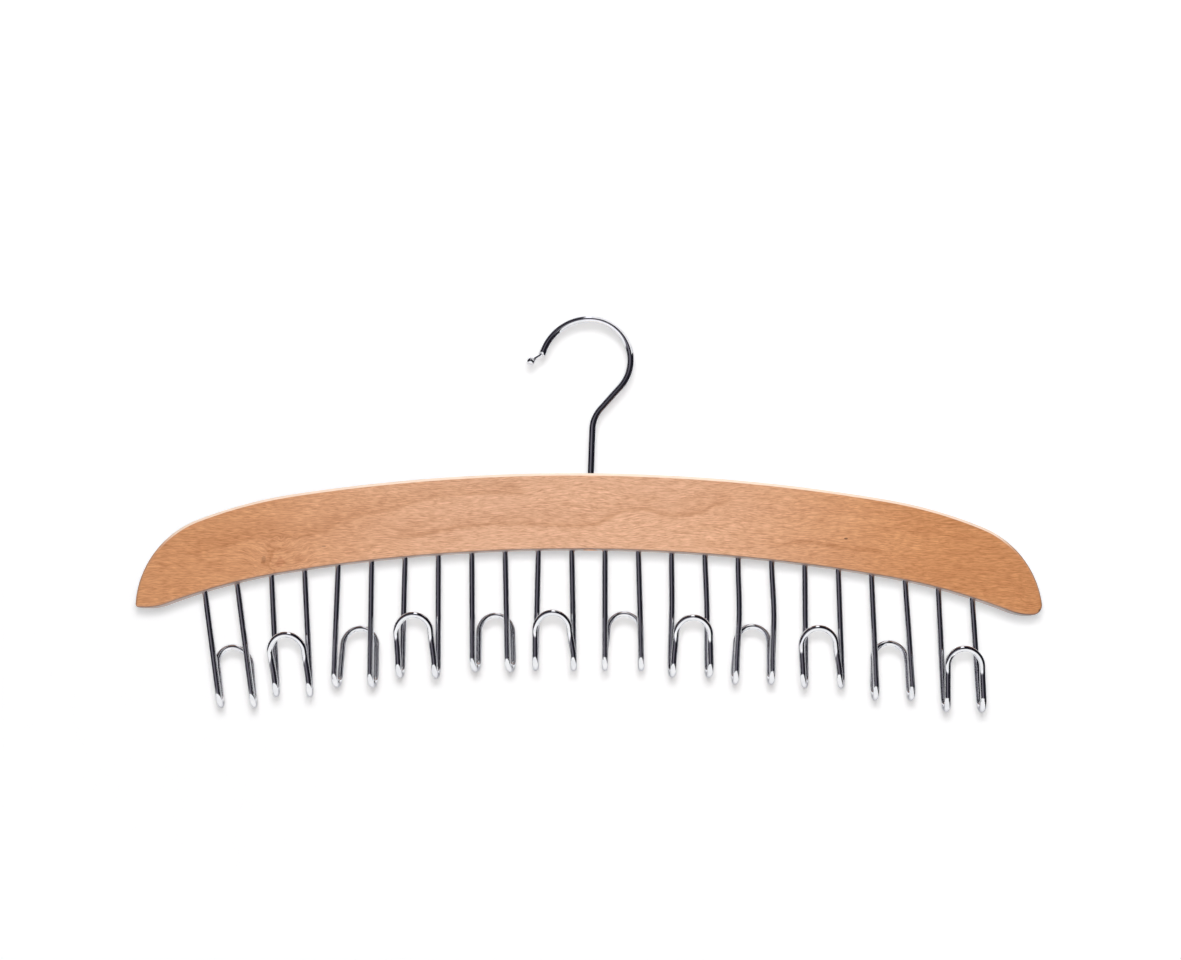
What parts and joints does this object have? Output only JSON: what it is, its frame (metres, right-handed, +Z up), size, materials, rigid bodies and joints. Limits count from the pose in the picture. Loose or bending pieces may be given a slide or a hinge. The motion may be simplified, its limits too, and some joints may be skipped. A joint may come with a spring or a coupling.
{
  "type": "belt hanger",
  "caption": "Arched wooden closet hanger on a swivelling wire hook, with a row of bent chromed wire hooks below that each hold a belt by its buckle.",
  "frame": {"origin": "the top of the inside of the swivel hook's loop, where it rests on the closet rod", "axes": "+X along the bar, to the right as seen from the front; +Y towards the back; +Z up, along the swivel's stem"},
  "size_m": [0.4429, 0.03, 0.1963],
  "materials": {
    "beech": "sanded beech with a thin satin lacquer",
    "chrome": "bright chrome plating on steel wire"
  },
  "bodies": {
    "swivel_hook": {"hanger_hook": "chrome", "hook_washer": "chrome"},
    "bar": {"wooden_bar": "beech", "belt_hook_01": "chrome", "belt_hook_02": "chrome", "belt_hook_03": "chrome", "belt_hook_04": "chrome", "belt_hook_05": "chrome", "belt_hook_06": "chrome", "belt_hook_07": "chrome", "belt_hook_08": "chrome", "belt_hook_09": "chrome", "belt_hook_10": "chrome", "belt_hook_11": "chrome", "belt_hook_12": "chrome"}
  },
  "joints": [
    {"name": "hook_swivel", "type": "hinge", "parent": "swivel_hook", "child": "bar", "pos_m": [0.0013, 0, -0.10895], "axis": [0, 0, 1], "continuous": true}
  ]
}
